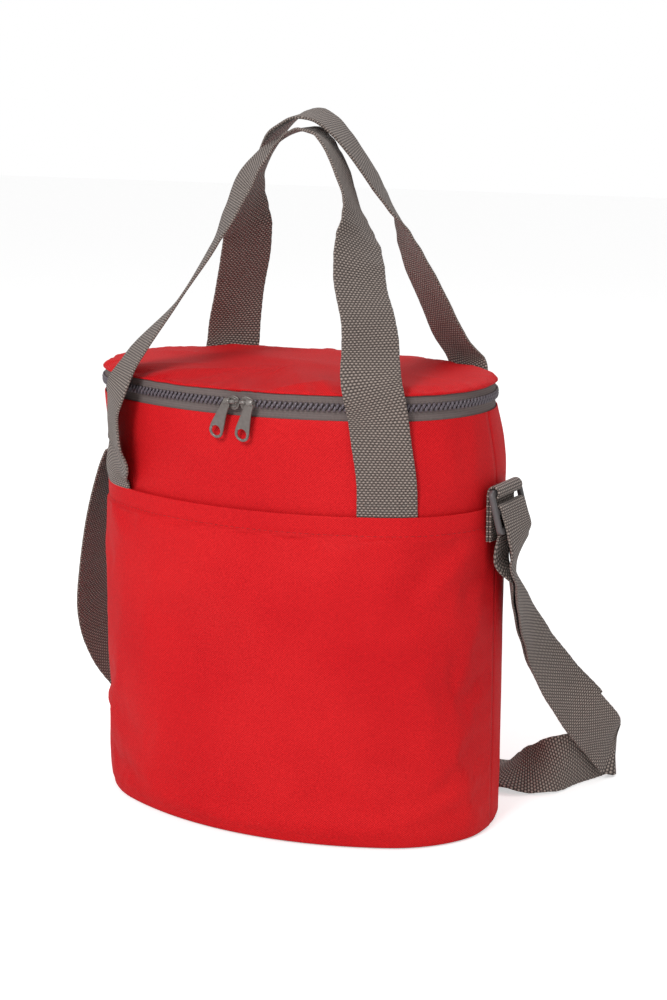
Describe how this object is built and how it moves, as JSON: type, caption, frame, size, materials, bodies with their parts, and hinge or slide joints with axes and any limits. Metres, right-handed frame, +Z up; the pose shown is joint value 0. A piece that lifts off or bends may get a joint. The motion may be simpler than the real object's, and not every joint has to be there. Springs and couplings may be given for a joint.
{
  "type": "insulated cooler bag",
  "caption": "Oval insulated fabric cooler bag with a zipped lid, front slip pocket, twin webbing carry handles and an adjustable webbing shoulder strap.",
  "frame": {"origin": "centre of the base's underside, on the floor", "axes": "+Z up, front pocket faces -Y, +X to the right of someone facing the front"},
  "size_m": [0.3676, 0.2393, 0.4715],
  "materials": {
    "red_fabric": "woven polyester, coated",
    "grey_webbing": "woven webbing",
    "zip_tape": "woven tape",
    "binding": "woven tape",
    "silver_lining": "foil-faced sheet",
    "foam": "closed-cell foam",
    "zip_metal": "painted zip slider and pull",
    "zip_teeth": "moulded teeth",
    "buckle_plastic": "moulded, fine texture"
  },
  "bodies": {
    "shell": {"front_panel": "red_fabric", "back_panel": "red_fabric", "base_panel": "red_fabric", "front_pocket": "red_fabric", "front_foam": "foam", "back_foam": "foam", "base_foam": "foam", "front_liner": "silver_lining", "back_liner": "silver_lining", "base_liner": "silver_lining", "rim_binding": "binding", "left_seam_binding": "binding", "right_seam_binding": "binding", "base_binding": "binding", "zip_tape_lower": "zip_tape", "zip_teeth_lower": "zip_teeth", "left_zip_stop": "zip_teeth", "right_zip_stop": "zip_teeth", "lid_hinge_strip": "red_fabric", "front_handle_left_end": "grey_webbing", "front_handle_right_end": "grey_webbing", "back_handle_left_end": "grey_webbing", "back_handle_right_end": "grey_webbing", "adjuster_loop": "grey_webbing", "strap_anchor": "grey_webbing"},
    "lid": {"lid_panel": "red_fabric", "lid_foam": "foam", "lid_liner": "silver_lining", "lid_binding": "binding", "zip_tape_upper": "zip_tape", "zip_teeth_upper": "zip_teeth"},
    "left_slider": {"left_slider": "zip_metal"},
    "right_slider": {"right_slider": "zip_metal"},
    "left_pull": {"left_pull": "zip_metal"},
    "right_pull": {"right_pull": "zip_metal"},
    "front_handle": {"front_handle_arch": "grey_webbing"},
    "back_handle": {"back_handle_arch": "grey_webbing"},
    "shoulder_strap": {"strap_webbing": "grey_webbing", "strap_tail": "grey_webbing", "strap_adjuster": "buckle_plastic"}
  },
  "joints": [
    {"name": "lid_hinge", "type": "hinge", "parent": "shell", "child": "lid", "pos_m": [0, 0.092, 0.29], "axis": [-1, 0, 0], "range_deg": [0, 105], "deforming": ["lid_hinge_strip"]},
    {"name": "front_handle_swing", "type": "hinge", "parent": "shell", "child": "front_handle", "pos_m": [0, -0.083, 0.223], "axis": [1, 0, 0], "range_deg": [0, 137]},
    {"name": "back_handle_swing", "type": "hinge", "parent": "shell", "child": "back_handle", "pos_m": [0, 0.083, 0.223], "axis": [-1, 0, 0], "range_deg": [0, 106]},
    {"name": "left_slider_travel", "type": "hinge", "parent": "shell", "child": "left_slider", "pos_m": [0, 0.13333, 0.29], "axis": [0, 0, -1], "range_deg": [0, 16.5]},
    {"name": "right_slider_travel", "type": "hinge", "parent": "shell", "child": "right_slider", "pos_m": [0, 0.13333, 0.29], "axis": [0, 0, 1], "range_deg": [0, 13.5]},
    {"name": "left_pull_swing", "type": "hinge", "parent": "left_slider", "child": "left_pull", "pos_m": [0.00051, -0.095, 0.2912], "axis": [-1, -0.0022, 0], "range_deg": [0, 150]},
    {"name": "right_pull_swing", "type": "hinge", "parent": "right_slider", "child": "right_pull", "pos_m": [0.01176, -0.0947, 0.2912], "axis": [-0.9987, -0.0515, 0], "range_deg": [0, 150]},
    {"name": "shoulder_strap_lift", "type": "hinge", "parent": "shell", "child": "shoulder_strap", "pos_m": [0, 0, 0.232], "axis": [-1, 0, 0], "range_deg": [-95, 0], "deforming": ["adjuster_loop", "strap_anchor"]}
  ],
  "couplings": [
    {"joint": "front_handle_swing", "follows": "lid_hinge", "ratio": 1.3},
    {"joint": "back_handle_swing", "follows": "lid_hinge", "ratio": 1}
  ]
}
